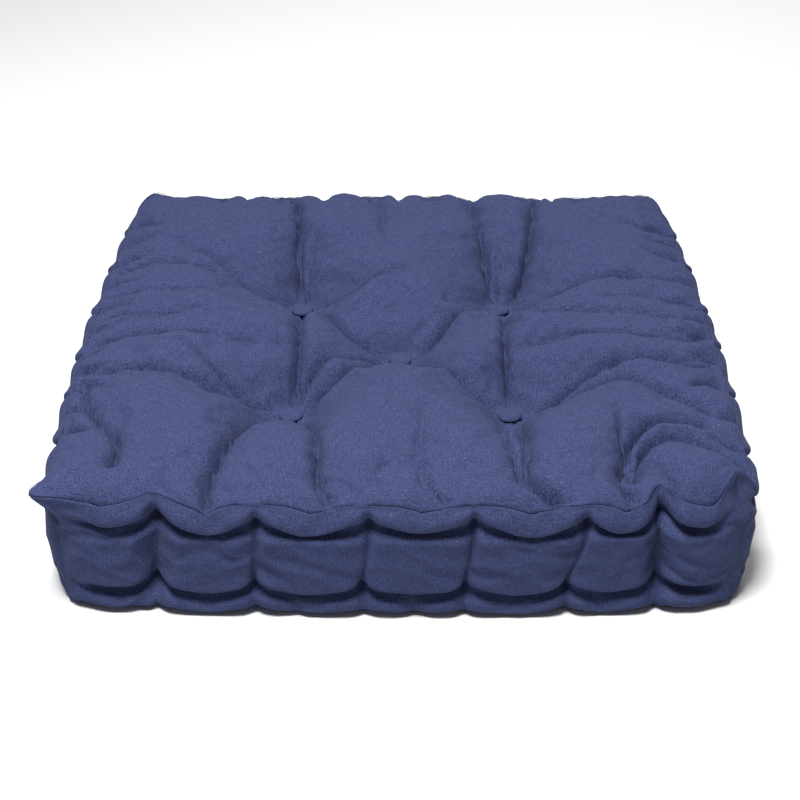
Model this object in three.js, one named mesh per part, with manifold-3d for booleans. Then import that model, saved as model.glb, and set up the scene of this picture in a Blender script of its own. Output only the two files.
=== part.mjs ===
// A square floor cushion, mattress-stitched: a boxed cotton cover over a thick wadding pad.
// Rows of tie-stitches pull the boxing in and leave a soft roll round each face, and tufting
// twines between covered buttons hold the two faces together.
// Millimetres, +Z up. The origin is on the floor, under the middle of the cushion.
import * as THREE from "three";
import { mergeVertices } from "three/addons/utils/BufferGeometryUtils.js";
import Module from "manifold-3d";

const wasm = await Module();
wasm.setup();

// Overall sizes, seam to seam
const LENGTH_X = 500;
const LENGTH_Y = 500;
const TOP_SEAM_HEIGHT = 98;
const BOTTOM_SEAM_HEIGHT = 4;
const CROWN_RISE = 12;
const CORNER_RADIUS = 22;

// Cloth, thread and wadding
const CLOTH_THICKNESS = 0.8;
const FILLING_GAP = 2;
const FILLING_PLAN_EASE = 1;
const SEAM_THREAD_SIZE = 0.6;
const FIT_GAP = 0.3;

// Tufts: one in the middle and four on a square round it
const TUFT_PITCH = 175;
const TOP_TUFT_DEPTH = 35;
const BOTTOM_TUFT_RISE = 18;
const TUFT_SPREAD = 58;
const TUFT_TWINE_DIAMETER = 2;
const TWINE_CLEARANCE = 0.5;

// Covered buttons
const BUTTON_RADIUS = 10;
const BUTTON_HEIGHT = 4.4;
const BUTTON_WALL = 1;
const BUTTON_SEAT_MARGIN = 1;
const PLATE_THICKNESS = 0.9;
const PLATE_CLEARANCE = 0.8;
const SHANK_RADIUS = 2;
const SHANK_LENGTH = 2;

// Mattress-stitched edge: a row of tie-stitches under the top roll, and one over the bottom roll
const STITCH_BAYS = 7;
const ROLL_HEIGHT = 18;
const ROLL_RISE = 6;
const GROOVE_DEPTH = 12;
const PANEL_STITCH_INSET = 22;
const EDGE_TWINE_DIAMETER = 1.6;

// Fineness of the facets
const DIVISIONS_TO_EDGE = 3;
const TWINE_SIDES = 6;
const TWINE_STEPS_PER_BAY = 6;
const BUTTON_SEGMENTS = 14;
const DOME_STEPS = 3;

const HALF_X = LENGTH_X / 2;
const HALF_Y = LENGTH_Y / 2;
const TOP_GROOVE_HEIGHT = TOP_SEAM_HEIGHT - ROLL_HEIGHT;
const BOTTOM_GROOVE_HEIGHT = BOTTOM_SEAM_HEIGHT + ROLL_HEIGHT;
const TOP_TUFT_HEIGHT = TOP_SEAM_HEIGHT - TOP_TUFT_DEPTH;
const SEAT_HALF = BUTTON_RADIUS + BUTTON_SEAT_MARGIN;
const SEAM_GAP = SEAM_THREAD_SIZE + 2 * FIT_GAP;
const CUT_REACH = 60;

const TUFTS = [
  { name: "centre", x: 0, y: 0 },
  { name: "front_left", x: -TUFT_PITCH / 2, y: -TUFT_PITCH / 2 },
  { name: "front_right", x: TUFT_PITCH / 2, y: -TUFT_PITCH / 2 },
  { name: "back_right", x: TUFT_PITCH / 2, y: TUFT_PITCH / 2 },
  { name: "back_left", x: -TUFT_PITCH / 2, y: TUFT_PITCH / 2 },
];

const SIDES = [
  { name: "front", turn: 0, length: LENGTH_X, reach: HALF_Y },
  { name: "right", turn: Math.PI / 2, length: LENGTH_Y, reach: HALF_X },
  { name: "back", turn: Math.PI, length: LENGTH_X, reach: HALF_Y },
  { name: "left", turn: -Math.PI / 2, length: LENGTH_Y, reach: HALF_X },
];

// Heights up the boxing, from seam to seam, and how far in each is drawn
const BOXING_LEVELS = [
  { height: BOTTOM_SEAM_HEIGHT, inset: 3 },
  { height: BOTTOM_SEAM_HEIGHT + ROLL_HEIGHT / 2, inset: 3 },
  { height: BOTTOM_GROOVE_HEIGHT, inset: GROOVE_DEPTH },
  { height: THREE.MathUtils.lerp(BOTTOM_GROOVE_HEIGHT, TOP_GROOVE_HEIGHT, 0.22), inset: 4 },
  { height: THREE.MathUtils.lerp(BOTTOM_GROOVE_HEIGHT, TOP_GROOVE_HEIGHT, 0.5), inset: 1 },
  { height: THREE.MathUtils.lerp(BOTTOM_GROOVE_HEIGHT, TOP_GROOVE_HEIGHT, 0.78), inset: 4 },
  { height: TOP_GROOVE_HEIGHT, inset: GROOVE_DEPTH },
  { height: TOP_SEAM_HEIGHT - ROLL_HEIGHT / 2, inset: 2 },
  { height: TOP_SEAM_HEIGHT, inset: 0 },
];
const TOP_LEVEL = BOXING_LEVELS.length - 1;

const coverCotton = new THREE.MeshStandardMaterial({ color: "#4b5080", roughness: 0.92, metalness: 0 });
const sewingThread = new THREE.MeshStandardMaterial({ color: "#34385f", roughness: 0.8, metalness: 0 });
const tuftingTwine = new THREE.MeshStandardMaterial({ color: "#3a3e66", roughness: 0.85, metalness: 0 });
const wadding = new THREE.MeshStandardMaterial({ color: "#ece8de", roughness: 1, metalness: 0 });
const buttonCotton = new THREE.MeshStandardMaterial({ color: "#4f5586", roughness: 0.9, metalness: 0 });
const buttonMetal = new THREE.MeshStandardMaterial({ color: "#b9bcc2", roughness: 0.4, metalness: 1 });

/** A closed geometry as a solid that can be joined and cut. */
function toSolid(geometry) {
  const bare = geometry.clone();
  bare.deleteAttribute("normal");
  bare.deleteAttribute("uv");
  const merged = mergeVertices(bare, 1e-3);
  return new wasm.Manifold(
    new wasm.Mesh({
      numProp: 3,
      vertProperties: merged.attributes.position.array,
      triVerts: new Uint32Array(merged.index.array),
    }),
  );
}

/** A cut solid as a geometry again. */
function toGeometry(solid) {
  const mesh = solid.getMesh();
  const geometry = new THREE.BufferGeometry();
  geometry.setAttribute("position", new THREE.BufferAttribute(mesh.vertProperties, 3));
  geometry.setIndex(new THREE.BufferAttribute(mesh.triVerts, 1));
  geometry.computeVertexNormals();
  return geometry;
}

function namedMesh(name, geometry, material) {
  const mesh = new THREE.Mesh(geometry, material);
  mesh.name = name;
  return mesh;
}

/** Lines that divide a panel across one side: round each button seat, then out to the seam. */
function panelLines(half) {
  const column = TUFT_PITCH / 2;
  const outer = [SEAT_HALF, column / 2, column - SEAT_HALF, column + SEAT_HALF];
  const rollStart = half - PANEL_STITCH_INSET;
  for (let i = 1; i < DIVISIONS_TO_EDGE; i += 1) {
    outer.push(THREE.MathUtils.lerp(column + SEAT_HALF, rollStart, i / DIVISIONS_TO_EDGE));
  }
  outer.push(rollStart, half - PANEL_STITCH_INSET / 2, half);
  const mirrored = outer.map((line) => -line).reverse();
  return mirrored.concat(outer);
}

/** How much of a tuft's pull is left at a distance from its twine: 1 on the button's seat. */
function tuftPull(distance) {
  const seat = SEAT_HALF * Math.SQRT2;
  return 1 - THREE.MathUtils.smoothstep(distance, seat, seat + TUFT_SPREAD);
}

function pulledToTufts(height, tuftHeight, x, y) {
  return TUFTS.reduce(
    (z, tuft) => THREE.MathUtils.lerp(z, tuftHeight, tuftPull(Math.hypot(x - tuft.x, y - tuft.y))),
    height,
  );
}

/** Height of the upper face: the roll at the seam, then the crowned and tufted middle. */
function topHeight(x, y, toSeam) {
  const rollShare = THREE.MathUtils.clamp(toSeam / PANEL_STITCH_INSET, 0, 1);
  const roll = ROLL_RISE * Math.sin(Math.PI * rollShare);
  const crown = CROWN_RISE * THREE.MathUtils.smoothstep(toSeam, PANEL_STITCH_INSET, TUFT_PITCH / 2);
  return pulledToTufts(TOP_SEAM_HEIGHT + roll + crown, TOP_TUFT_HEIGHT, x, y);
}

/** Height of the lower face: flat on the floor, apart from its rounded rim and its tufts. */
function bottomHeight(x, y, toSeam) {
  const rim = BOTTOM_SEAM_HEIGHT * (1 - THREE.MathUtils.smoothstep(toSeam, 0, PANEL_STITCH_INSET / 2));
  return pulledToTufts(rim, BOTTOM_TUFT_RISE, x, y);
}

/** A point of a square plan moved so that the plan's corners are round. */
function roundedCorner(x, y) {
  const dx = Math.abs(x) - (HALF_X - CORNER_RADIUS);
  const dy = Math.abs(y) - (HALF_Y - CORNER_RADIUS);
  if (dx <= 0 || dy <= 0) {
    return { x, y };
  }
  const shrink = Math.max(dx, dy) / Math.hypot(dx, dy);
  return {
    x: Math.sign(x) * (HALF_X - CORNER_RADIUS + dx * shrink),
    y: Math.sign(y) * (HALF_Y - CORNER_RADIUS + dy * shrink),
  };
}

/** A point on the outside of the cover, from its place in the plan and its level up the side. */
function coverPoint(x, y, level) {
  const toSeam = Math.min(HALF_X - Math.abs(x), HALF_Y - Math.abs(y));
  const rounded = roundedCorner(x, y);
  const inset = toSeam > 0 ? 0 : BOXING_LEVELS[level].inset;
  let z = BOXING_LEVELS[level].height;
  if (level === TOP_LEVEL) {
    z = topHeight(x, y, toSeam);
  } else if (level === 0) {
    z = bottomHeight(x, y, toSeam);
  }
  return new THREE.Vector3(
    rounded.x * (1 - inset / HALF_X),
    rounded.y * (1 - inset / HALF_Y),
    z,
  );
}

/** The whole cushion as one closed body, drawn in on every side, and eased in again in plan. */
function cushionBody(drawnIn, planEase) {
  const linesX = panelLines(HALF_X);
  const linesY = panelLines(HALF_Y);
  const stepsX = linesX.length - 1;
  const stepsY = linesY.length - 1;
  const box = new THREE.BoxGeometry(stepsX, stepsY, TOP_LEVEL, stepsX, stepsY, TOP_LEVEL);
  box.deleteAttribute("normal");
  box.deleteAttribute("uv");
  const body = mergeVertices(box, 1e-3);
  const place = body.attributes.position;
  for (let i = 0; i < place.count; i += 1) {
    const x = linesX[Math.round(place.getX(i) + stepsX / 2)];
    const y = linesY[Math.round(place.getY(i) + stepsY / 2)];
    const point = coverPoint(x, y, Math.round(place.getZ(i) + TOP_LEVEL / 2));
    place.setXYZ(i, point.x, point.y, point.z);
  }
  body.computeVertexNormals();
  const outward = body.attributes.normal;
  const moved = new THREE.Vector3();
  const normal = new THREE.Vector3();
  for (let i = 0; i < place.count; i += 1) {
    normal.fromBufferAttribute(outward, i);
    moved.fromBufferAttribute(place, i).addScaledVector(normal, -drawnIn);
    place.setXYZ(i, moved.x * (1 - planEase / HALF_X), moved.y * (1 - planEase / HALF_Y), moved.z);
  }
  return toSolid(body);
}

/** A flat slab over the cushion's edge, open in the middle, between two heights. */
function edgeSlab(low, high, depthIn) {
  const outline = new THREE.Shape();
  const reachX = HALF_X + CUT_REACH;
  const reachY = HALF_Y + CUT_REACH;
  outline.moveTo(-reachX, -reachY);
  outline.lineTo(reachX, -reachY);
  outline.lineTo(reachX, reachY);
  outline.lineTo(-reachX, reachY);
  const opening = new THREE.Path();
  opening.moveTo(-HALF_X + depthIn, -HALF_Y + depthIn);
  opening.lineTo(-HALF_X + depthIn, HALF_Y - depthIn);
  opening.lineTo(HALF_X - depthIn, HALF_Y - depthIn);
  opening.lineTo(HALF_X - depthIn, -HALF_Y + depthIn);
  outline.holes.push(opening);
  const slab = new THREE.ExtrudeGeometry(outline, { depth: high - low, bevelEnabled: false });
  slab.translate(0, 0, low);
  return toSolid(slab);
}

/** The pin-shaped room that a tufting twine takes through the cloth and the wadding. */
function twineHole(tuft) {
  const radius = TUFT_TWINE_DIAMETER / 2 + TWINE_CLEARANCE;
  const length = TOP_SEAM_HEIGHT + 2 * CUT_REACH;
  const hole = new THREE.CylinderGeometry(radius, radius, length, 8);
  hole.rotateX(Math.PI / 2);
  hole.translate(tuft.x, tuft.y, TOP_SEAM_HEIGHT / 2);
  return toSolid(hole);
}

/** A running tie-stitch: inside the boxing between stitches, and outside it at each one. */
class RunningStitch extends THREE.Curve {
  constructor(length, inside, outside, height) {
    super();
    this.bay = length / STITCH_BAYS;
    this.inside = inside;
    this.outside = outside;
    this.height = height;
  }
  getPoint(t) {
    const stitches = STITCH_BAYS - 1;
    const along = (t - 0.5) * stitches * this.bay;
    const fromStitch = Math.abs(((t * stitches) % 1) - 0.5) * TWINE_STEPS_PER_BAY;
    const out = THREE.MathUtils.clamp(1 - fromStitch, 0, 1);
    return new THREE.Vector3(along, -THREE.MathUtils.lerp(this.inside, this.outside, out), this.height);
  }
}

/** The tie-stitch twine of one side and row. */
function edgeTwine(side, height) {
  const radius = EDGE_TWINE_DIAMETER / 2;
  const groove = side.reach - GROOVE_DEPTH;
  const inside = groove - CLOTH_THICKNESS - FIT_GAP - radius;
  const outside = groove + FIT_GAP + radius;
  const section = new THREE.Shape();
  for (let i = 0; i < TWINE_SIDES; i += 1) {
    const angle = (2 * Math.PI * i) / TWINE_SIDES;
    const x = radius * Math.cos(angle);
    const y = radius * Math.sin(angle);
    if (i === 0) {
      section.moveTo(x, y);
    } else {
      section.lineTo(x, y);
    }
  }
  const twine = new THREE.ExtrudeGeometry(section, {
    steps: (STITCH_BAYS - 1) * TWINE_STEPS_PER_BAY,
    extrudePath: new RunningStitch(side.length, inside, outside, height),
  });
  twine.rotateZ(side.turn);
  return twine;
}

/** The slits through the boxing that one tie-stitch twine passes in and out by. */
function stitchSlits(side, height) {
  const bay = side.length / STITCH_BAYS;
  const width = (2 * bay) / TWINE_STEPS_PER_BAY;
  const tall = EDGE_TWINE_DIAMETER + 2 * FIT_GAP;
  const slits = [];
  for (let stitch = 1; stitch < STITCH_BAYS; stitch += 1) {
    const slit = new THREE.BoxGeometry(width, GROOVE_DEPTH, tall);
    slit.translate((stitch - STITCH_BAYS / 2) * bay, -side.reach + GROOVE_DEPTH, height);
    slit.rotateZ(side.turn);
    slits.push(toSolid(slit));
  }
  return slits;
}

/** The covered button's domed shell, open underneath, standing on its rim. */
function buttonCap() {
  const dome = new THREE.QuadraticBezierCurve(
    new THREE.Vector2(BUTTON_RADIUS, BUTTON_HEIGHT * 0.35),
    new THREE.Vector2(BUTTON_RADIUS * 0.9, BUTTON_HEIGHT),
    new THREE.Vector2(0, BUTTON_HEIGHT),
  );
  const outer = dome.getPoints(DOME_STEPS);
  const shrink = (BUTTON_RADIUS - BUTTON_WALL) / BUTTON_RADIUS;
  const inner = outer.map((p) => new THREE.Vector2(p.x * shrink, p.y - BUTTON_WALL)).reverse();
  const rim = [new THREE.Vector2(BUTTON_RADIUS - BUTTON_WALL, 0), new THREE.Vector2(BUTTON_RADIUS, 0)];
  const cap = new THREE.LatheGeometry(inner.concat(rim, outer), BUTTON_SEGMENTS);
  cap.rotateX(Math.PI / 2);
  return cap;
}

/** The button's back plate with its shank, which the twine is tied to. */
function buttonPlate() {
  const plateRadius = BUTTON_RADIUS - BUTTON_WALL - PLATE_CLEARANCE;
  const profile = [
    new THREE.Vector2(0, -SHANK_LENGTH),
    new THREE.Vector2(SHANK_RADIUS, -SHANK_LENGTH),
    new THREE.Vector2(SHANK_RADIUS, 0),
    new THREE.Vector2(plateRadius, 0),
    new THREE.Vector2(plateRadius, PLATE_THICKNESS),
    new THREE.Vector2(0, PLATE_THICKNESS),
  ];
  const plate = new THREE.LatheGeometry(profile, BUTTON_SEGMENTS);
  plate.rotateX(Math.PI / 2);
  return plate;
}

function cover() {
  let shell = cushionBody(0, 0).subtract(cushionBody(CLOTH_THICKNESS, 0));
  const shankRoom = SHANK_RADIUS + FIT_GAP;
  const shankHole = new THREE.CylinderGeometry(shankRoom, shankRoom, TOP_SEAM_HEIGHT * 3, 10);
  shankHole.rotateX(Math.PI / 2);
  for (const tuft of TUFTS) {
    shell = shell.subtract(toSolid(shankHole.clone().translate(tuft.x, tuft.y, 0)));
  }
  const seams = [TOP_SEAM_HEIGHT - FIT_GAP - SEAM_GAP, BOTTOM_SEAM_HEIGHT + FIT_GAP];
  const threads = seams.map((low) =>
    shell.intersect(edgeSlab(low + FIT_GAP, low + FIT_GAP + SEAM_THREAD_SIZE, GROOVE_DEPTH)),
  );
  for (const low of seams) {
    shell = shell.subtract(edgeSlab(low, low + SEAM_GAP, GROOVE_DEPTH));
  }
  const panels = shell.decompose();
  panels.sort((a, b) => b.boundingBox().max[2] - a.boundingBox().max[2]);
  let boxing = panels[1];
  for (const side of SIDES) {
    for (const height of [TOP_GROOVE_HEIGHT, BOTTOM_GROOVE_HEIGHT]) {
      for (const slit of stitchSlits(side, height)) {
        boxing = boxing.subtract(slit);
      }
    }
  }
  const group = new THREE.Group();
  group.add(namedMesh("top_panel", toGeometry(panels[0]), coverCotton));
  group.add(namedMesh("boxing", toGeometry(boxing), coverCotton));
  group.add(namedMesh("bottom_panel", toGeometry(panels[2]), coverCotton));
  group.add(namedMesh("top_seam_thread", toGeometry(threads[0]), sewingThread));
  group.add(namedMesh("bottom_seam_thread", toGeometry(threads[1]), sewingThread));
  return group;
}

/** The wadding pad, holed for the tufting twines and grooved for the tie-stitches. */
function filling() {
  let pad = cushionBody(CLOTH_THICKNESS + FILLING_GAP, FILLING_PLAN_EASE);
  const room = EDGE_TWINE_DIAMETER + 2 * FIT_GAP;
  const grooveDepth = GROOVE_DEPTH + CLOTH_THICKNESS + room;
  for (const height of [TOP_GROOVE_HEIGHT, BOTTOM_GROOVE_HEIGHT]) {
    pad = pad.subtract(edgeSlab(height - room / 2, height + room / 2, grooveDepth));
  }
  for (const tuft of TUFTS) {
    pad = pad.subtract(twineHole(tuft));
  }
  return namedMesh("filling", toGeometry(pad), wadding);
}

function edgeTwines() {
  const group = new THREE.Group();
  const rows = [
    { name: "top", height: TOP_GROOVE_HEIGHT },
    { name: "bottom", height: BOTTOM_GROOVE_HEIGHT },
  ];
  for (const row of rows) {
    for (const side of SIDES) {
      const name = `${row.name}_edge_twine_${side.name}`;
      group.add(namedMesh(name, edgeTwine(side, row.height), tuftingTwine));
    }
  }
  return group;
}

/** A button on one face, its back plate, and their place over the cloth. */
function button(face, tuft, height, turn) {
  const group = new THREE.Group();
  group.add(namedMesh(`${face}_button_${tuft.name}`, buttonCap(), buttonCotton));
  group.add(namedMesh(`${face}_button_plate_${tuft.name}`, buttonPlate(), buttonMetal));
  group.position.set(tuft.x, tuft.y, height);
  group.rotation.x = turn;
  return group;
}

/** The tufts: a button on each face, and the twine that draws the two together. */
function tufts() {
  const group = new THREE.Group();
  const topHeightOfButton = TOP_TUFT_HEIGHT + FIT_GAP;
  const bottomHeightOfButton = BOTTOM_TUFT_RISE - FIT_GAP;
  const twineTop = topHeightOfButton - SHANK_LENGTH - FIT_GAP;
  const twineBottom = bottomHeightOfButton + SHANK_LENGTH + FIT_GAP;
  const radius = TUFT_TWINE_DIAMETER / 2;
  for (const tuft of TUFTS) {
    group.add(button("top", tuft, topHeightOfButton, 0));
    group.add(button("bottom", tuft, bottomHeightOfButton, Math.PI));
    const twine = new THREE.CylinderGeometry(radius, radius, twineTop - twineBottom, TWINE_SIDES);
    twine.rotateX(Math.PI / 2);
    twine.translate(tuft.x, tuft.y, (twineTop + twineBottom) / 2);
    group.add(namedMesh(`tuft_twine_${tuft.name}`, twine, tuftingTwine));
  }
  return group;
}

const floorCushion = new THREE.Group();
floorCushion.add(cover());
floorCushion.add(filling());
floorCushion.add(edgeTwines());
floorCushion.add(tufts());

export default floorCushion;
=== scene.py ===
import math

import bmesh
import bpy
import numpy as np
from mathutils import Matrix, Vector


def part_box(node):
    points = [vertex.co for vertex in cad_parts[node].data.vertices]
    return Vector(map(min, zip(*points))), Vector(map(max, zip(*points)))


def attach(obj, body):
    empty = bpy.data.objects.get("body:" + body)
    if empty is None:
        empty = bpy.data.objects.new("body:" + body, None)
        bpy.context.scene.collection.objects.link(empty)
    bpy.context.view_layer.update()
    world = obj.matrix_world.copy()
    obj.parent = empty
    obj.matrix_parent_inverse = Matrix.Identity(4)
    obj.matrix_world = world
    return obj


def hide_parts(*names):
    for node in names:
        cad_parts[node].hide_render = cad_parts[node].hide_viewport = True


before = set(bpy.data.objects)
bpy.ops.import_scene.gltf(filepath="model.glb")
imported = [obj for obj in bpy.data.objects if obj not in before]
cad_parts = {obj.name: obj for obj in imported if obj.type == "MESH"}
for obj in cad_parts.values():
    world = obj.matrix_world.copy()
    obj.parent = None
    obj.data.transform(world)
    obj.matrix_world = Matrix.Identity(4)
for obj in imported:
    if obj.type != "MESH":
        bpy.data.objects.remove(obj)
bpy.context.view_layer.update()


# ---------------------------------------------------------------------------
# The cover as it is cut
# Two squares of navy cotton and one long strip of boxing, sewn edge to edge.
# The strip turns the corners and is joined out of sight, so it has no corner seams.
# ---------------------------------------------------------------------------
MM = 0.001
BAYS = 7
PANEL_CELLS = 18 * BAYS
BOXING_ROWS = 30
TOP, BOXING, BOTTOM = 0, 1, 2
HAIR = 1e-5
MIDDLE_HEIGHT = 0.05

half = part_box("top_panel")[1].x
cell = 2 * half / PANEL_CELLS
top_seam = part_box("top_seam_thread")[1].z
boxing_cut = 128 * MM


def cut_cover():
    """The sewn cover as a plain box of cells, one unit high, with its lay on the cloth as UVs."""
    cells = bmesh.new()
    bmesh.ops.create_grid(cells, x_segments=PANEL_CELLS, y_segments=PANEL_CELLS, size=half)
    rim = [e for e in cells.edges if e.is_boundary]
    for row in range(BOXING_ROWS):
        grown = bmesh.ops.extrude_edge_only(cells, edges=rim)["geom"]
        rim = [g for g in grown if isinstance(g, bmesh.types.BMEdge)]
        risen = [g for g in grown if isinstance(g, bmesh.types.BMVert)]
        bmesh.ops.translate(cells, verts=risen, vec=(0, 0, 1 / BOXING_ROWS))
    lid = bmesh.ops.create_grid(cells, x_segments=PANEL_CELLS, y_segments=PANEL_CELLS, size=half)
    bmesh.ops.translate(cells, verts=lid["verts"], vec=(0, 0, 1))
    bmesh.ops.remove_doubles(cells, verts=cells.verts[:], dist=HAIR)
    bmesh.ops.recalc_face_normals(cells, faces=cells.faces[:])
    lay = cells.loops.layers.uv.new("lay")
    for face in cells.faces:
        side = face.normal.to_tuple(1)
        face.smooth = True
        face.material_index = TOP if side[2] > 0.5 else BOTTOM if side[2] < -0.5 else BOXING
        for loop in face.loops:
            px, py, height = loop.vert.co
            if face.material_index == BOXING:
                loop[lay].uv = (py if abs(side[0]) > 0.5 else px + 2 * half, height * boxing_cut)
            else:
                loop[lay].uv = (px, py)
    mesh = bpy.data.meshes.new("cover")
    cells.to_mesh(mesh)
    cells.free()
    return mesh


cover = cut_cover()
count = len(cover.vertices)
flat = np.empty(count * 3)
cover.vertices.foreach_get("co", flat)
x, y, rise = flat.reshape(-1, 3).T
on_top = rise > 0.9999
on_bottom = rise < 0.0001
on_side = np.maximum(abs(x), abs(y)) > half - HAIR
to_seam = half - np.maximum(abs(x), abs(y))


def crease_distance(points, px, py):
    """The nearest point of a crease, how far off it is, and how far along the crease."""
    lengths = [math.dist(a, b) for a, b in zip(points, points[1:])]
    best = np.full_like(px, 9.0)
    near_x, near_y, along, done = px.copy(), py.copy(), np.zeros_like(px), 0
    for a, b, length in zip(points, points[1:], lengths):
        ax, ay, dx, dy = a[0] * MM, a[1] * MM, (b[0] - a[0]) * MM, (b[1] - a[1]) * MM
        part = np.clip(((px - ax) * dx + (py - ay) * dy) / (dx * dx + dy * dy), 0, 1)
        cx, cy = ax + part * dx, ay + part * dy
        away = np.hypot(px - cx, py - cy)
        closer = away < best
        best = np.where(closer, away, best)
        near_x, near_y = np.where(closer, cx, near_x), np.where(closer, cy, near_y)
        along = np.where(closer, (done + part * length) / sum(lengths), along)
        done += length
    return near_x, near_y, best, along


def ease(low, high, value):
    share = np.clip((value - low) / (high - low), 0, 1)
    return share * share * (3 - 2 * share)


def pillow(share):
    """The round of a stuffed piece: 0 and steep at its crease, 1 and level at its crown."""
    return np.sqrt(1 - (1 - np.clip(share, 0, 1)) ** 2)


# ---------------------------------------------------------------------------
# How the tie-stitches draw the boxing in
# Two rows of stitches pinch the boxing near each seam, so that a roll stands round each face and
# the boxing bulges between them like a row of small pillows. Stitched by hand, a little off.
# ---------------------------------------------------------------------------
# How far each stitch strays from its even place, in millimetres: the upper row, then the lower.
SIDES = {
    "front": (1, -1, (6, 5, 14, 16, 25, 5), (1, 2, 8, 11, 12, 7)),
    "right": (0, 1, (-6, 4, 9, -4, 6, -3), (-4, 2, 6, 2, 3, -5)),
    "back": (1, 1, (4, -6, 3, -4, 7, -4), (2, -3, 6, -1, 4, -6)),
    "left": (0, -1, (9, 4, -8, -6, 3, 5), (5, 2, -5, -8, -2, 3)),
}

# Half a bay of boxing from the bottom seam to the top seam: the share of its cut height, then the
# height and the inset in millimetres at a stitch, in the middle of a bay and at a corner.
SECTION = (
    (0.00, 4, 6, 3, 3, 4, 6),
    (0.07, 9, 0, 6, -3, 9, 3),
    (0.14, 17, 3, 12, -3, 16, 2),
    (0.20, 24, 15, 18, 7, 22, 1),
    (0.27, 31, 9, 23, -3, 30, -1),
    (0.50, 50, 5, 46, -4, 54, -3),
    (0.73, 71, 7, 70, -3, 77, -2),
    (0.80, 81, 14, 75, 7, 84, -1),
    (0.86, 86, 3, 74, -4, 90, 0),
    (0.93, 93, 0, 82, -5, 96, 1),
    (1.00, 98, 1, 91, -1, 104, 2),
)

# In millimetres: how much deeper the outer two stitches of a side draw than the others, how far in and
# up the front seam is drawn at its right end and at its left, how far each side bows out, and how much
# deeper the stitches draw, and how much fuller the bays stand, on the sides other than the front.
OUTER_PULL = 9
RIGHT_TUCK, RIGHT_TUCK_RISE = 16, 3
LEFT_PULL, LEFT_PULL_RISE = 8, 2
SIDE_BOW = 9
BELLY = {"front": 2, "right": 6, "back": 6, "left": 6}
DEEPER_STITCH, FULLER_BAY = 7, 2

# Smaller folds of the boxing near the front corners, where the strip turns: how far along the side
# and up the strip each runs, and how deep it is in millimetres.
SMALL_FOLD_WIDTH = 10 * MM
CORNER_FOLDS = (
    (((-172, 0.80), (-200, 0.74), (-243, 0.66)), 10),
    (((-176, 0.20), (-205, 0.16), (-238, 0.23)), 9),
    (((-178, 0.15), (-192, 0.08), (-203, 0.0)), 9),
    (((-168, 0.81), (-140, 0.72), (-118, 0.75)), 3),
    (((183, 0.80), (212, 0.75), (246, 0.71)), 9),
    (((198, 0.52), (226, 0.42)), 5),
    (((186, 0.21), (214, 0.20), (242, 0.27)), 8),
    (((188, 0.36), (214, 0.32), (236, 0.35)), 5),
)


def even_places():
    return [((k + 1) * 2 / BAYS - 1) * half for k in range(BAYS - 1)]


def stitch_places(side, row):
    return [place + stray * MM for place, stray in zip(even_places(), SIDES[side][2 + row])]


def shifted_along(side, along, share):
    """Where a column of cells stands along its side once the stitches stray."""
    ends = [-half] + even_places() + [half]
    upper, lower = (np.interp(along, ends, [-half] + stitch_places(side, r) + [half]) for r in (0, 1))
    mix = ease(0.2, 0.8, share)
    return lower + (upper - lower) * mix


def fold_depth(side, along, share):
    """How far the small folds of one side draw the boxing in."""
    folds = [(points, depth) for points, depth in CORNER_FOLDS if side == "front"]
    for k, place in enumerate(even_places()):
        lean = 4 * (-1) ** k
        folds.append((((place / MM, 0.8), (place / MM - lean, 0.88), (place / MM - lean / 2, 0.95)), 5))
        folds.append((((place / MM, 0.2), (place / MM + lean, 0.12), (place / MM + lean / 2, 0.04)), 4))
    drawn_in = np.zeros_like(along)
    for points, depth in folds:
        path = [(a, s * boxing_cut / MM) for a, s in points]
        *_, away, done = crease_distance(path, along, share * boxing_cut)
        fade = 1 - 0.7 * done
        drawn_in = np.maximum(drawn_in, depth * MM * fade * (1 - pillow(away / SMALL_FOLD_WIDTH)))
    return drawn_in


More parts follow.
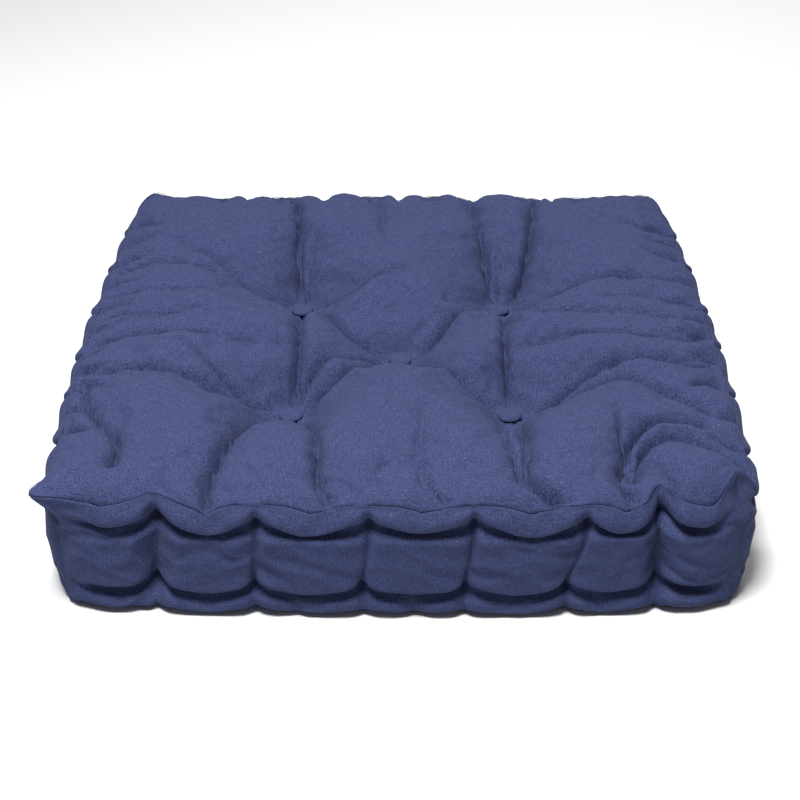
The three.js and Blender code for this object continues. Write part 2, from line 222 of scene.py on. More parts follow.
def boxing_section(side, along, share):
    """How far in from the straight side, and how high, each point of the boxing lies."""
    levels = [row[0] for row in SECTION]
    columns = [np.interp(share, levels, [row[k] for row in SECTION]) * MM for k in range(1, 7)]
    places = even_places()
    nearest = np.min([abs(along - place) for place in places], axis=0)
    leaf = np.clip(nearest / (half / BAYS), 0, 1)
    middle_band = ease(0.06, 0.24, 0.3 - abs(share - 0.5))
    full = pillow(nearest / ((15 + 17 * middle_band) * MM)) ** (0.8 + 0.5 * middle_band)
    full = np.where(share > 0.96, leaf ** 2, full)
    drop = np.where(share > 0.96, leaf ** 2.6, np.sin(math.pi / 2 * leaf) ** 1.3)
    drop = drop * (0.82 + 0.18 * np.sin(along * 31 + len(side)))
    corner = ease(half - 42 * MM, half - 8 * MM, abs(along))
    height = columns[0] * (1 - drop) + columns[2] * drop
    inset = columns[1] * (1 - full) + columns[3] * full
    height = height * (1 - corner) + columns[4] * corner
    inset = inset * (1 - corner) + columns[5] * corner
    outer = np.exp(-(((abs(along) - abs(places[0])) / (10 * MM)) ** 2))
    inset = inset + OUTER_PULL * MM * outer * (1 - abs(2 * share - 1) ** 2)
    if side == "front":
        tuck = np.exp(-(((along - places[5]) / (11 * MM)) ** 2)) * ease(0.7, 1, share)
        pull = np.exp(-(((along - places[0]) / (12 * MM)) ** 2)) * ease(0.75, 1, share)
        inset = inset + RIGHT_TUCK * MM * tuck + LEFT_PULL * MM * pull
        height = height + RIGHT_TUCK_RISE * MM * tuck + LEFT_PULL_RISE * MM * pull
    inset = inset + fold_depth(side, along, share) * np.where(share > 0.97, 0.3, 1)
    if side != "front":
        deeper = DEEPER_STITCH * MM * (1 - full) - FULLER_BAY * MM * full
        inset = inset + deeper * (1 - corner) * ease(0, 0.3, 1 - abs(2 * share - 1))
    belly = BELLY[side] * MM * np.sin(math.pi * share)
    bow = (SIDE_BOW * MM + belly) * np.cos(math.pi / 2 * along / half) ** 0.8
    return inset - bow, height


# ---------------------------------------------------------------------------
# How the tufts draw the top down
# Five twines pull the two faces together. The cloth folds into creases from tuft to tuft and from
# tuft to seam, and the wadding stands up between them in puffs.
# ---------------------------------------------------------------------------
tufts = {
    name: sum(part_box("tuft_twine_" + name), Vector()) / 2
    for name in ("centre", "front_left", "front_right", "back_right", "back_left")
}
seat_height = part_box("top_button_centre")[0].z
underside_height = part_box("bottom_button_centre")[1].z
button_radius = 10 * MM
CROWN = 12 * MM
WELL = 84 * MM
LIP = 4 * MM
LIP_WIDTH = 9 * MM
FOLD = 2.2
SEAM_FOLD, FRONT_NOTCH, FRONT_HOOK = 9, 7, 1

# Each crease: the points that it runs through, and its depth at each end, all in millimetres.
CREASES = [
    (((-88, 88), (-92, 130), (-95, 190), (-101, 250)), 13, 7),
    (((-88, 88), (-80, 150), (-76, 190)), 8, 0),
    (((-88, 88), (-123, 84), (-145, 98), (-172, 122), (-196, 134)), 13, 2),
    (((-150, 90), (-176, 98), (-212, 106), (-240, 88)), 3, 7),
    (((-88, 88), (-46, 80), (-22, 90), (4, 94)), 12, 1),
    (((-88, 88), (-62, 40), (-42, 14), (0, 0)), 13, 13),
    (((-88, 88), (-84, 0), (-84, -50), (-88, -88)), 12, 12),
    (((-88, -88), (-120, -86), (-148, -70), (-176, -40)), 13, 2),
    (((-88, -88), (-138, -92), (-174, -82), (-204, -76), (-244, -84)), 12, 7),
    (((-88, -88), (-112, -128), (-128, -180), (-136, -220), (-143, -250)), 13, 10),
    (((-88, -88), (-68, -138), (-60, -190), (-60, -250)), 12, 6),
    (((-88, -88), (-50, -62), (-22, -32), (0, 0)), 13, 13),
    (((-88, -80), (-70, -44), (-46, -26), (-10, -6)), 9, 6),
    (((0, 0), (24, 8), (44, 40), (62, 52), (88, 88)), 13, 13),
    (((0, 0), (34, -42), (56, -70), (88, -88)), 12, 12),
    (((88, 88), (78, 136), (72, 194), (60, 250)), 12, 6),
    (((88, 88), (88, 130), (91, 160)), 9, 1),
    (((88, 88), (112, 122), (124, 190), (130, 250)), 13, 7),
    (((88, 88), (114, 68), (142, 74), (176, 78), (212, 76), (250, 66)), 12, 5),
    (((100, 70), (118, 22), (170, 14), (230, 0)), 6, 3),
    (((88, 88), (92, 40), (86, -20), (88, -88)), 13, 13),
    (((88, -88), (106, -96), (130, -80), (168, -62), (204, -64), (240, -76)), 13, 7),
    (((96, -92), (134, -96), (168, -91), (190, -102), (228, -142)), 8, 6),
    (((88, -88), (74, -130), (80, -180), (88, -250)), 9, 9),
    (((88, -88), (96, -130), (92, -190), (92, -250)), 12, 7),
    (((-243, -88), (-236, -130), (-218, -166), (-206, -180), (-206, -214)), 4, 8),
    (((162, -136), (163, -167), (165, -191), (158, -215), (150, -250)), 3, 9),
    (((168, -226), (162, -196), (176, -168), (196, -157), (222, -164)), 14, 8),
    (((172, -210), (180, -186), (200, -178), (222, -190), (244, -212)), 12, 8),
    (((206, 180), (224, 170), (248, 158)), 2, 7),
    (((-100, 44), (-160, 54), (-236, 46)), 1, 4),
    (((-98, 8), (-150, 16), (-232, 8)), 1, 4),
    (((-120, -30), (-176, -22), (-240, -30)), 2, 5),
    (((112, 44), (170, 40), (238, 34)), 1, 4),
    (((96, -30), (150, -22), (236, -34)), 2, 5),
    (((-20, 120), (-14, 180), (-22, 244)), 0, 4),
    (((20, -120), (14, -180), (14, -246)), 0, 4),
]
for side, (axis, sign, *_) in SIDES.items():
    stitches = [place / MM for place in stitch_places(side, 0)]
    rim = sign * half / MM
    for k, (a, b) in enumerate(zip(stitches, stitches[1:])):
        middle, lean = (a + b) / 2, 5 * math.sin(9 * k + len(side))
        notch = ((middle, rim), (middle + lean / 2, rim * 0.94), (middle + lean, rim * 0.87))
        depth = FRONT_NOTCH if side == "front" else SEAM_FOLD
        CREASES.append((tuple(p if axis else p[::-1] for p in notch), depth, 1))
    for k, place in enumerate(stitches):
        hook = ((place, rim * 0.97), (place + 3, rim * 0.93), (place + 9 * (-1) ** k, rim * 0.87))
        depth = FRONT_HOOK if side == "front" else SEAM_FOLD
        CREASES.append((tuple(p if axis else p[::-1] for p in hook), depth, 1))


def rounded_path(points):
    """A crease's points with its corners cut twice, so that it runs in a curve."""
    for _ in range(2):
        cut = [points[0]]
        for a, b in zip(points, points[1:]):
            cut += [tuple(p + (q - p) * t for p, q in zip(a, b)) for t in (0.25, 0.75)]
        points = cut + [points[-1]]
    return points


creases = [(rounded_path(points), start, end) for points, start, end in CREASES]


def gather_to_creases():
    """Draws the cells in towards the creases, so that each fold runs along their edges."""
    px, py, best = x.copy(), y.copy(), np.full_like(x, 9.0)
    free = ease(0, 2 * cell, to_seam)
    for place in tufts.values():
        free = free * ease(button_radius, 2 * button_radius, np.hypot(x - place.x, y - place.y))
    for points, *_ in creases:
        near_x, near_y, away, _ = crease_distance(points, x, y)
        pull = free * (1 - np.clip(away / (1.5 * cell), 0, 1))
        closer = on_top & (away < best)
        px = np.where(closer, x + (near_x - x) * pull, px)
        py = np.where(closer, y + (near_y - y) * pull, py)
        best = np.minimum(best, away)
    return px, py


def drawn_top(px, py):
    """Height of the upper face over the floor, stuffed and tufted, and how sharply it is creased."""
    full = top_seam + CROWN * pillow(to_seam / (56 * MM))
    lumps = np.sin(px * 71 + 1.3 * np.sin(py * 43)) * np.sin(py * 64 + 0.7 + 1.1 * np.sin(px * 51))
    full = full + 1.8 * MM * lumps * ease(0, 50 * MM, to_seam)
    for cx, cy, radius, swell in ((210, -222, 30, 7), (-226, -226, 26, 4), (190, -160, 20, 3)):
        full = full + swell * MM * np.exp(-(np.hypot(px - cx * MM, py - cy * MM) / (radius * MM)) ** 2)
    drawn = np.zeros_like(px)
    for place in tufts.values():
        away = np.hypot(px - place.x, py - place.y) - button_radius
        wide = WELL * (1.3 if place is tufts["centre"] else 1)
        well = (1 - np.clip(away / wide, 0, 1)) ** 1.35 * (full - seat_height - LIP)
        drawn = np.maximum(drawn, well + LIP * (1 - pillow(away / LIP_WIDTH)))
    fold, folded = np.zeros_like(px), np.zeros_like(px)
    for points, start, end in creases:
        *_, away, along = crease_distance(points, px, py)
        if start == end:
            depth = start * (1 - 0.35 * np.sin(math.pi * along))
        else:
            depth = end + (start - end) * (1 - along) ** 1.3
        pressed = 0.4 * np.exp(-away / (2.2 * MM)) + 0.6 * (1 - pillow(away / ((19 + depth) * MM)))
        fold = np.maximum(fold, FOLD * depth * MM * pressed)
        folded = np.maximum(folded, np.clip(depth / 6, 0, 1) * np.clip(1.4 - away / cell / 0.45, 0, 1))
    return np.maximum(full - drawn - fold, seat_height), folded


def drawn_bottom():
    """Height of the underside: on the floor, but for the five tufts."""
    lifted = np.zeros_like(x)
    for place in tufts.values():
        away = np.hypot(x - place.x, y - place.y) - button_radius
        lifted = np.maximum(lifted, 1 - pillow(away / (45 * MM)))
    return lifted * underside_height


# How far each corner of the top seam stands out along the diagonal and up, in millimetres.
CORNERS = {(-1, -1): (12, 3), (1, -1): (-9, 8), (1, 1): (-4, 3), (-1, 1): (-4, 6)}

# The radius of each corner at the seams, and what is added at mid-height and at the back.
CORNER_ROUND, MIDDLE_ROUND, BACK_ROUND = 11, 17, 10


def drawn_cover():
    """Every corner of the cells where the twines and the wadding would put it."""
    px, py = gather_to_creases()
    pz, folded = drawn_top(px, py)
    pz = np.where(on_bottom, drawn_bottom(), pz)
    for side, (axis, sign, *_) in SIDES.items():
        across, along = (x, y) if axis == 0 else (y, x)
        inset, height = boxing_section(side, along, rise)
        shift = shifted_along(side, along, rise) - along
        here = on_side & (abs(across - sign * half) < HAIR)
        pz[here] = height[here]
        follow = ease(half - 75 * MM, half, across * sign)
        follow = np.where(here, 1, np.where(on_side, 0, follow))
        rim_shift = np.where(here, 1, follow * ease(half - 30 * MM, half, across * sign))
        if axis == 0:
            px, py = px - sign * inset * follow, py + shift * rim_shift
        else:
            py, px = py - sign * inset * follow, px + shift * rim_shift
    body = 1 - abs(2 * rise - 1) ** 2
    radius = (CORNER_ROUND + MIDDLE_ROUND * body + BACK_ROUND * (y > 0)) * MM
    over_x, over_y = abs(px) - (half - radius), abs(py) - (half - radius)
    rounded = (over_x > 0) & (over_y > 0)
    shrink = np.maximum(over_x, over_y) / np.maximum(np.hypot(over_x, over_y), 1e-9)
    px[rounded] = (np.sign(px) * (half - radius + over_x * shrink))[rounded]
    py[rounded] = (np.sign(py) * (half - radius + over_y * shrink))[rounded]
    for (sx, sy), (out, up) in CORNERS.items():
        tip = ease(half - 34 * MM, half, x * sx) * ease(half - 34 * MM, half, y * sy)
        tip = tip * ease(0.72, 1, rise)
        px, py, pz = px + sx * tip * out * MM, py + sy * tip * out * MM, pz + tip * up * MM
    return np.stack([px, py, pz], 1), folded


drawn, folded = drawn_cover()


# ---------------------------------------------------------------------------
# Stuffing the cover
# The wadding's push is air pressure in a cloth simulation. The cloth is cut a little larger than
# the shape that it is drawn to, so it wrinkles where the twines and the buttons hold it.
# ---------------------------------------------------------------------------
CLOTH_EASE = 0.05
STUFFING_FRAMES = 14
FARTHEST_MOVE = 16 * MM
FLOOR_GAP = 1 * MM
ROUGHNESS = 0.5 * MM
rough = np.random.default_rng(3).normal(0, ROUGHNESS, drawn.shape)
drawn[~on_side] += rough[~on_side]
cover.vertices.foreach_set("co", drawn.ravel())
cover.update()
sewn = bpy.data.objects.new("sewn_cover", cover)
bpy.context.scene.collection.objects.link(sewn)


# How firmly each stretch of the cover is held, from 0, loose, to 1, at a stitch or a button.
PUFF_HOLD, FOLD_HOLD, FLOOR_HOLD, BOXING_HOLD, SEAM_HOLD, GROOVE_HOLD = 0.1, 0.95, 0.3, 0.2, 0.5, 0.6


def hold_weights():
    """The hold on each point of the cells."""
    hold = np.maximum(PUFF_HOLD, FOLD_HOLD * folded) * on_top
    hold[on_bottom] = FLOOR_HOLD
    hold[on_side] = BOXING_HOLD
    hold[on_side & (on_top | on_bottom)] = SEAM_HOLD
    for place in tufts.values():
        hold[(on_top | on_bottom) & (np.hypot(x - place.x, y - place.y) < button_radius)] = 1
    folds = fold_depth("front", x, rise) * on_side * (y < HAIR - half)
    hold = np.maximum(hold, np.clip(folds / (4 * MM), 0, 0.9))
    grooves = on_side & ((abs(rise - 0.2) < 0.01) | (abs(rise - 0.8) < 0.01))
    hold[grooves] = GROOVE_HOLD
    for place in even_places():
        for along in (x, y):
            column = abs(along - place) < 0.5 * cell
            hold[column & on_side & ((abs(rise - 0.2) < 0.04) | (abs(rise - 0.8) < 0.04))] = 1
    return hold


def stuff_cover():
    grip = sewn.vertex_groups.new(name="grip")
    for index, weight in enumerate(hold_weights()):
        if weight > 0:
            grip.add([index], float(weight), "REPLACE")
    cotton = sewn.modifiers.new("cotton", "CLOTH")
    cloth = cotton.settings
    cloth.vertex_group_mass = "grip"
    cloth.quality = 5
    cloth.tension_stiffness = cloth.compression_stiffness = 30
    cloth.shear_stiffness = 5
    cloth.bending_stiffness = 0.2
    cloth.use_pressure = True
    cloth.uniform_pressure_force = 2.5
    cloth.shrink_min = -CLOTH_EASE
    cloth.effector_weights.gravity = 0
    cotton.collision_settings.use_collision = False
    cotton.point_cache.frame_end = STUFFING_FRAMES
    for step in range(1, STUFFING_FRAMES + 1):
        bpy.context.scene.frame_set(step)
    stuffed = sewn.evaluated_get(bpy.context.evaluated_depsgraph_get()).to_mesh()
    place = np.empty(count * 3)
    stuffed.vertices.foreach_get("co", place)
    sewn.modifiers.remove(cotton)
    bpy.context.scene.frame_set(1)
    return place.reshape(-1, 3)


# The cloth settles a little differently from one run to the next.
move = stuff_cover() - drawn
far = np.linalg.norm(move, axis=1, keepdims=True)
drawn = drawn + move * np.minimum(1, FARTHEST_MOVE / np.maximum(far, 1e-9))
drawn[:, 2] = np.maximum(drawn[:, 2], FLOOR_GAP)
cover.vertices.foreach_set("co", drawn.ravel())
cover.update()
ends = np.empty(len(cover.edges) * 2, int)
cover.edges.foreach_get("vertices", ends)
folded = folded * on_top * (to_seam > 1.5 * cell)
folded_edges = folded[ends.reshape(-1, 2)].min(axis=1)
cover.attributes.new("crease_edge", "FLOAT", "EDGE").data.foreach_set("value", 0.9 * folded_edges)
finer = sewn.modifiers.new("finer", "SUBSURF")
finer.levels = finer.render_levels = 1
smooth_cover = bpy.data.meshes.new_from_object(sewn.evaluated_get(bpy.context.evaluated_depsgraph_get()))

# The bottom of each fold on the top closes on itself, down into the wadding. The finer mesh lists
# the cells' corners first, and then the middles of their edges.
FOLD_CLOSING = 6 * MM
place = np.empty(len(smooth_cover.vertices) * 3)
smooth_cover.vertices.foreach_get("co", place)
closed = np.concatenate([folded, folded_edges])
place[2 : 3 * len(closed) : 3] -= FOLD_CLOSING * closed
smooth_cover.vertices.foreach_set("co", place)
smooth_cover.update()


# ---------------------------------------------------------------------------
# Navy cotton
# Plain-woven cotton canvas, yarn-dyed navy and unfinished: matt, with slubs, a faint nap that
# lightens it at a grazing angle, and a few specks of lint. The weave follows each cut piece.
# ---------------------------------------------------------------------------
def linear(colour):
    """An sRGB hex colour as the linear values that a shader takes."""
    parts = [int(colour[i : i + 2], 16) / 255 for i in (1, 3, 5)]
    return tuple(p / 12.92 if p <= 0.04045 else ((p + 0.055) / 1.055) ** 2.4 for p in parts) + (1,)


def add_node(tree, kind, inputs=None, **settings):
    node = tree.nodes.new("ShaderNode" + kind)
    for name, value in settings.items():
        setattr(node, name, value)
    for socket, value in (inputs or {}).items():
        if isinstance(value, bpy.types.NodeSocket):
            tree.links.new(value, node.inputs[socket])
        else:
            node.inputs[socket].default_value = value
    return node


def new_finish(name):
    finish = bpy.data.materials.new(name)
    finish.use_nodes = True
    return finish, finish.node_tree, finish.node_tree.nodes["Principled BSDF"]


# Real threads are about 0.6 mm apart, too fine to show on a whole cushion, so they are drawn
# coarser, 1.3 mm apart.
THREAD_PITCH = 1.3 * MM
SLUB_LENGTH = 6 * MM


def cotton_canvas(name, warp, weft):
    finish, tree, surface = new_finish(name)
    lay = add_node(tree, "UVMap", uv_map="lay").outputs["UV"]
    across = 1 / THREAD_PITCH
    warp_lay = add_node(tree, "Mapping", {"Vector": lay, "Scale": (across, 1 / SLUB_LENGTH, 1)})
    weft_lay = add_node(tree, "Mapping", {"Vector": lay, "Scale": (1 / SLUB_LENGTH, across, 1)})
    warp_slub = add_node(tree, "TexNoise", {"Vector": warp_lay.outputs[0], "Scale": 1.0, "Detail": 2.0})
    weft_slub = add_node(tree, "TexNoise", {"Vector": weft_lay.outputs[0], "Scale": 1.0, "Detail": 2.0})
    thread = math.tau / THREAD_PITCH / 20
    warp_round = add_node(
        tree, "TexWave", {"Vector": lay, "Scale": thread, "Distortion": 0.0}, bands_direction="X"
    )
    weft_round = add_node(
        tree, "TexWave", {"Vector": lay, "Scale": thread, "Distortion": 0.0}, bands_direction="Y"
    )
    over = add_node(tree, "TexChecker", {"Vector": lay, "Scale": across})
    weave = add_node(
        tree,
        "Mix",
        {"Factor": over.outputs["Fac"], "A": warp_round.outputs["Fac"], "B": weft_round.outputs["Fac"]},
    )
    slubs = add_node(
        tree,
        "Mix",
        {"Factor": over.outputs["Fac"], "A": warp_slub.outputs["Fac"], "B": weft_slub.outputs["Fac"]},
    )
    mottle = add_node(tree, "TexNoise", {"Vector": lay, "Scale": 1200.0, "Detail": 2.0, "Roughness": 0.6})
    thin = add_node(tree, "Math", {0: slubs.outputs[0], 1: 0.4}, operation="MULTIPLY")
    tone = add_node(
        tree, "Math", {0: mottle.outputs["Fac"], 1: 0.6, 2: thin.outputs[0]}, operation="MULTIPLY_ADD"
    )
    dyed = add_node(tree, "ValToRGB", {"Fac": tone.outputs[0]})
    dyed.color_ramp.elements[0].position = 0.36
    dyed.color_ramp.elements[0].color = linear(warp)
    dyed.color_ramp.elements[1].position = 0.64
    dyed.color_ramp.elements[1].color = linear(weft)
    lint = add_node(tree, "TexNoise", {"Vector": lay, "Scale": 420.0, "Detail": 1.0})
    specks = add_node(tree, "ValToRGB", {"Fac": lint.outputs["Fac"]})
    specks.color_ramp.elements[0].position = 0.76
    specks.color_ramp.elements[0].color = (0, 0, 0, 1)
    specks.color_ramp.elements[1].position = 0.80
    specks.color_ramp.elements[1].color = (0.25, 0.25, 0.25, 1)
    linted = add_node(
        tree,
        "Mix",
        {"Factor": specks.outputs["Color"], "A": dyed.outputs["Color"], "B": linear("#9aa0c4")},
        data_type="RGBA",
    )
    relief = add_node(tree, "Math", {0: weave.outputs[0], 1: slubs.outputs[0]}, operation="MULTIPLY")
    woven = add_node(
        tree, "Bump", {"Height": relief.outputs[0], "Strength": 0.55, "Distance": 0.35 * MM}
    )
    tree.links.new(linted.outputs[2], surface.inputs["Base Color"])
    tree.links.new(woven.outputs["Normal"], surface.inputs["Normal"])
    surface.inputs["Roughness"].default_value = 0.95
    surface.inputs["Specular IOR Level"].default_value = 0.12
    surface.inputs["Sheen Weight"].default_value = 0.04
    surface.inputs["Sheen Roughness"].default_value = 0.5
    surface.inputs["Sheen Tint"].default_value = linear("#a9aed0")
    return finish


navy_cotton = cotton_canvas("navy_cotton_canvas", "#1f2440", "#41496e")


# ---------------------------------------------------------------------------
# Top panel, boxing and bottom panel
# The three cut pieces of the stuffed cover, each with its edge turned in at the seam.
# ---------------------------------------------------------------------------
CLOTH_THICKNESS = 0.8 * MM
SEAM_OPENING = 0.35 * MM
SEAM_ALLOWANCE = 4 * MM


def cover_piece(name, part):
    piece_cells = bmesh.new()
    piece_cells.from_mesh(smooth_cover)
    others = [f for f in piece_cells.faces if f.material_index != part]
    bmesh.ops.delete(piece_cells, geom=others, context="FACES")
    for face in piece_cells.faces:
        face.material_index = 0
    piece_cells.normal_update()
    rim = [e for e in piece_cells.edges if e.is_boundary]
    rim_points = {v for e in rim for v in e.verts}
    for point in rim_points:
        inner = [e.other_vert(point).co for e in point.link_edges if not e.is_boundary]
        if inner:
            point.co += (sum(inner, Vector()) / len(inner) - point.co).normalized() * SEAM_OPENING
    turned = bmesh.ops.extrude_edge_only(piece_cells, edges=rim)["geom"]
    for point in (g for g in turned if isinstance(g, bmesh.types.BMVert)):
        middle = Vector((point.co.x * 0.9, point.co.y * 0.9, MIDDLE_HEIGHT))
        point.co += (middle - point.co).normalized() * SEAM_ALLOWANCE
    bmesh.ops.recalc_face_normals(piece_cells, faces=piece_cells.faces[:])
    mesh = bpy.data.meshes.new(name)
    piece_cells.to_mesh(mesh)
    piece_cells.free()
    mesh.materials.append(navy_cotton)
    piece = bpy.data.objects.new(name + "_cloth", mesh)
    bpy.context.scene.collection.objects.link(piece)
    thickness = piece.modifiers.new("cloth", "SOLIDIFY")
    thickness.thickness = CLOTH_THICKNESS
    thickness.offset = -1
    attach(piece, "root")
    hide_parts(name)


cover_piece("top_panel", TOP)
cover_piece("boxing", BOXING)
cover_piece("bottom_panel", BOTTOM)


# ---------------------------------------------------------------------------
# Filling
# One thick pad of needled cotton and polyester wadding, off-white and fuzzy, filling the cover.
# ---------------------------------------------------------------------------
def needled_wadding():
    finish, tree, surface = new_finish("needled_wadding")
    place = add_node(tree, "TexCoord").outputs["Object"]
    tufty = add_node(tree, "TexNoise", {"Vector": place, "Scale": 160.0, "Detail": 6.0, "Roughness": 0.7})
    shade = add_node(tree, "ValToRGB", {"Fac": tufty.outputs["Fac"]})
    shade.color_ramp.elements[0].color = linear("#cfc8b8")
    shade.color_ramp.elements[1].color = linear("#f4f1e8")
    fuzz = add_node(tree, "Bump", {"Height": tufty.outputs["Fac"], "Strength": 0.8, "Distance": 1.5 * MM})
    tree.links.new(shade.outputs["Color"], surface.inputs["Base Color"])
    tree.links.new(fuzz.outputs["Normal"], surface.inputs["Normal"])
    surface.inputs["Roughness"].default_value = 1.0
    surface.inputs["Sheen Weight"].default_value = 0.3
    return finish


# The pad is cut smaller than the cover, so that it stays clear of every fold and seam.
PAD_INSET, PAD_CORNER_INSET = 14 * MM, 26 * MM
PAD_SINK = 12 * MM
FACE_GAP, SIDE_GAP = 4 * MM, 5 * MM


def innermost(values, columns, rows):
    """The least value within four cells of each, so that no fold of the cloth meets the pad."""
    sheet = np.full((columns.max() + 9, rows.max() + 9), np.inf)
    sheet[columns + 4, rows + 4] = values
    around = [(a, b) for a in range(9) for b in range(9)]
    return np.min([sheet[columns + a, rows + b] for a, b in around], axis=0)


def wadding_pad():
    pad = cover.copy()
    column, row = (np.rint((v + half) / cell).astype(int) for v in (x, y))
    up = np.rint(rise * BOXING_ROWS).astype(int)
    place = drawn * (1 - PAD_INSET / half, 1 - PAD_INSET / half, 1)
    place[:, 2] -= (2 * rise - 1) * PAD_SINK
    closed = drawn[:, 2] - FOLD_CLOSING * folded
    place[on_top, 2] = innermost(closed[on_top], column[on_top], row[on_top]) - FACE_GAP
    place[on_bottom, 2] = FACE_GAP - innermost(-drawn[on_bottom, 2], column[on_bottom], row[on_bottom])
    for axis, across, along in ((0, x, row), (1, y, column)):
        for sign in (-1, 1):
            here = on_side & (abs(across - sign * half) < HAIR)
            reach = innermost(sign * drawn[here, axis], along[here], up[here])
            place[here, axis] = sign * (reach - SIDE_GAP)
            rim = here & on_top
            lid = np.zeros(PANEL_CELLS + 1)
            lid[along[rim]] = place[rim, 2]
            place[here, 2] = np.minimum(place[here, 2], lid[along[here]])
    place[:, :2] = np.clip(place[:, :2], PAD_CORNER_INSET - half, half - PAD_CORNER_INSET)
    pad.vertices.foreach_set("co", place.ravel())
    pad.materials.clear()
    pad.materials.append(needled_wadding())
    pad.polygons.foreach_set("material_index", [0] * len(pad.polygons))
    piece = bpy.data.objects.new("wadding_pad", pad)
    bpy.context.scene.collection.objects.link(piece)
    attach(piece, "root")
    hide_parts("filling")


wadding_pad()
bpy.data.objects.remove(sewn)


# ---------------------------------------------------------------------------
# Threads and twines
# Polyester sewing thread in the two seams, and waxed cotton twine in the tie-stitches and tufts.
# ---------------------------------------------------------------------------
def spun_yarn(name, dark, light, twist):
    finish, tree, surface = new_finish(name)
    place = add_node(tree, "TexCoord").outputs["Object"]
    strands = add_node(
        tree,
        "TexWave",
        {"Vector": place, "Scale": math.tau / twist / 20, "Distortion": 1.0},
        bands_direction="DIAGONAL",
    )
    shade = add_node(tree, "ValToRGB", {"Fac": strands.outputs["Fac"]})
    shade.color_ramp.elements[0].color = linear(dark)
    shade.color_ramp.elements[1].color = linear(light)
    ply = add_node(tree, "Bump", {"Height": strands.outputs["Fac"], "Strength": 0.6, "Distance": 0.2 * MM})
    tree.links.new(shade.outputs["Color"], surface.inputs["Base Color"])
    tree.links.new(ply.outputs["Normal"], surface.inputs["Normal"])
    surface.inputs["Roughness"].default_value = 0.7
    return finish


sewing_thread = spun_yarn("polyester_sewing_thread", "#23264a", "#34386a", 0.5 * MM)
waxed_twine = spun_yarn("waxed_cotton_twine", "#2b2f58", "#474c80", 1.2 * MM)


def yarn_along(name, points, radius, finish, closed):
    line = bpy.data.curves.new(name, "CURVE")
    line.dimensions = "3D"
    line.bevel_depth = radius
    line.bevel_resolution = 2
    line.use_fill_caps = True
    spline = line.splines.new("POLY")
    spline.points.add(len(points) - 1)
    for control, point in zip(spline.points, points):
        control.co = (*point, 1)
    spline.use_cyclic_u = closed
    line.materials.append(finish)
    yarn = bpy.data.objects.new(name, line)
    bpy.context.scene.collection.objects.link(yarn)
    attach(yarn, "root")
    return yarn


def seam_loop(piece_name, height_share):
    """The points of one seam in order round the cushion, sunk between the two turned edges."""
    ring = on_side & (abs(rise - height_share) < 1e-4)
    turn = np.arctan2(y[ring], x[ring])
    points = drawn[ring][np.argsort(turn)]
    middle = np.array([0, 0, MIDDLE_HEIGHT])
    return points + (middle - points) * np.array([1, 1, 0.2]) * (1.5 * MM / half)


for name, share in (("top_seam_thread", 1), ("bottom_seam_thread", 0)):
    thread = yarn_along(name + "_yarn", seam_loop(name, share), 0.3 * MM, sewing_thread, True)
    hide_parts(name)


def stitch_route(side, row, share):
    """Inside the cover from stitch to stitch, and out through the boxing for a short bite at each."""
    axis, sign = SIDES[side][:2]
    across, along = (x, y) if axis == 0 else (y, x)
    here = np.flatnonzero(on_side & (abs(across - sign * half) < HAIR) & (abs(rise - share) < 0.01))
    route = []
    for place in even_places():
        pinch = drawn[here[np.argmin(abs(along[here] - place))]]
        for step, depth in ((-14, 9), (-5, 3), (-2.5, -0.6), (2.5, -0.6), (5, 3), (14, 9)):
            point = pinch.copy()
            point[1 - axis] += step * MM
            point[axis] -= sign * depth * MM
            route.append(point)
    return route


for row, (name_of_row, share) in enumerate((("top", 0.8), ("bottom", 0.2))):
    for side in SIDES:
        name = f"{name_of_row}_edge_twine_{side}"
        twine = yarn_along(name + "_yarn", stitch_route(side, row, share), 0.7 * MM, waxed_twine, False)
        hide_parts(name)

for name in tufts:
    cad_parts["tuft_twine_" + name].material_slots[0].material = waxed_twine


# ---------------------------------------------------------------------------
# Covered buttons
# A pressed cap with the cover's own cotton stretched over it and gathered under its rim, and an
# aluminium back plate whose shank the tufting twine is tied to.
# ---------------------------------------------------------------------------
def pressed_aluminium():
    finish, tree, surface = new_finish("pressed_aluminium")
    place = add_node(tree, "TexCoord").outputs["Object"]
    rolled = add_node(tree, "Mapping", {"Vector": place, "Scale": (900, 60, 900)})
    grain = add_node(tree, "TexNoise", {"Vector": rolled.outputs[0], "Scale": 1.0, "Detail": 3.0})
    shine = add_node(tree, "MapRange", {"Value": grain.outputs["Fac"], "To Min": 0.3, "To Max": 0.5})
    tree.links.new(shine.outputs[0], surface.inputs["Roughness"])
    surface.inputs["Base Color"].default_value = linear("#c9cbcf")
    surface.inputs["Metallic"].default_value = 1.0
    return finish


aluminium = pressed_aluminium()
GATHERS = 14
flipped = Matrix.Rotation(math.pi, 3, "X")


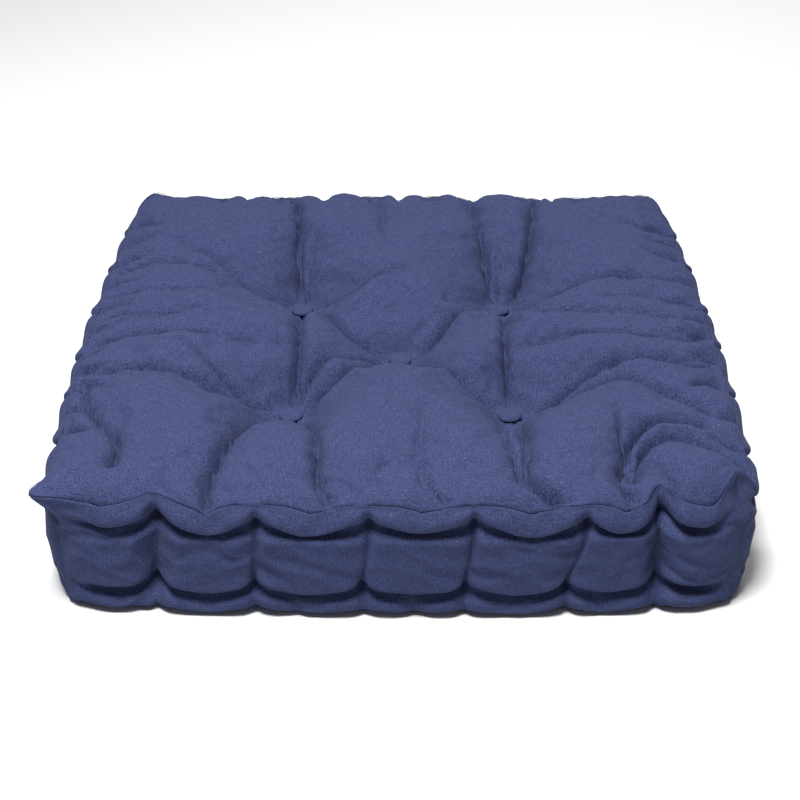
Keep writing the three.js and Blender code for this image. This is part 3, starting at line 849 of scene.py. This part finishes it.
def covered_button(node, face_up):
    low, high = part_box(node)
    centre = (low + high) / 2
    radius = (high.x - low.x) / 2
    height = high.z - low.z
    cap = bmesh.new()
    profile = [(0, 1), (0.3, 0.99), (0.55, 0.95), (0.75, 0.86), (0.9, 0.7), (0.99, 0.46), (1, 0.3)]
    profile += [(0.97, 0.12), (0.9, 0.02), (0.8, 0), (0.8, 0.2), (0.55, 0.6), (0, 0.72)]
    points = [cap.verts.new((r * radius, 0, h * height)) for r, h in profile]
    edges = [cap.edges.new(pair) for pair in zip(points, points[1:])]
    bmesh.ops.spin(
        cap, geom=points + edges, cent=(0, 0, 0), axis=(0, 0, 1), angle=math.tau, steps=56, use_merge=True
    )
    bmesh.ops.remove_doubles(cap, verts=cap.verts[:], dist=1e-6)
    for point in cap.verts:
        out = math.hypot(point.co.x, point.co.y) / radius
        pleat = math.cos(GATHERS * math.atan2(point.co.y, point.co.x))
        pleat *= max(0, out - 0.8) * 0.12 * (point.co.z < 0.6 * height)
        point.co.x *= 1 + pleat
        point.co.y *= 1 + pleat
    if not face_up:
        bmesh.ops.rotate(cap, verts=cap.verts[:], cent=(0, 0, height / 2), matrix=flipped)
    bmesh.ops.recalc_face_normals(cap, faces=cap.faces[:])
    lay = cap.loops.layers.uv.new("lay")
    for face in cap.faces:
        face.smooth = True
        for loop in face.loops:
            loop[lay].uv = (loop.vert.co.x, loop.vert.co.y)
    bmesh.ops.translate(cap, verts=cap.verts[:], vec=(centre.x, centre.y, low.z))
    mesh = bpy.data.meshes.new(node)
    cap.to_mesh(mesh)
    cap.free()
    mesh.materials.append(navy_cotton)
    button = bpy.data.objects.new(node + "_cloth", mesh)
    bpy.context.scene.collection.objects.link(button)
    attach(button, "root")
    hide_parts(node)


for name in tufts:
    covered_button("top_button_" + name, True)
    covered_button("bottom_button_" + name, False)
    for face in ("top", "bottom"):
        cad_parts[f"{face}_button_plate_{name}"].material_slots[0].material = aluminium


# ---------------------------------------------------------------------------
# Floor, lights and camera
# A plain white studio: a pale floor, a soft light overhead and a larger, weaker one behind.
# ---------------------------------------------------------------------------
def studio():
    sheet = bmesh.new()
    bmesh.ops.create_grid(sheet, x_segments=1, y_segments=1, size=6)
    mesh = bpy.data.meshes.new("floor")
    sheet.to_mesh(mesh)
    sheet.free()
    finish, tree, surface = new_finish("white_studio_floor")
    surface.inputs["Base Color"].default_value = linear("#dadada")
    surface.inputs["Roughness"].default_value = 0.9
    mesh.materials.append(finish)
    floor = bpy.data.objects.new("floor", mesh)
    bpy.context.scene.collection.objects.link(floor)
    world = bpy.data.worlds.new("studio")
    world.use_nodes = True
    world.node_tree.nodes["Background"].inputs["Color"].default_value = (1, 1, 1, 1)
    world.node_tree.nodes["Background"].inputs["Strength"].default_value = 0.18
    bpy.context.scene.world = world
    for name, place, size, power in (
        ("overhead", (-0.25, -0.62, 1.85), 0.6, 68),
        ("back", (0.5, 1.6, 1.6), 1.4, 22),
    ):
        lamp = bpy.data.lights.new(name, "AREA")
        lamp.size = size
        lamp.energy = power
        light = bpy.data.objects.new(name, lamp)
        light.location = place
        light.rotation_euler = (-Vector(place)).to_track_quat("-Z", "Y").to_euler()
        bpy.context.scene.collection.objects.link(light)
    lens = bpy.data.cameras.new("camera")
    lens.sensor_width = 36
    lens.lens = 70.2
    camera = bpy.data.objects.new("camera", lens)
    camera.location = (0, -1.140, 0.736)
    camera.rotation_euler = (math.radians(90 - 31.97), 0, 0)
    bpy.context.scene.collection.objects.link(camera)
    bpy.context.scene.camera = camera
    bpy.context.scene.view_settings.view_transform = "Standard"


studio()
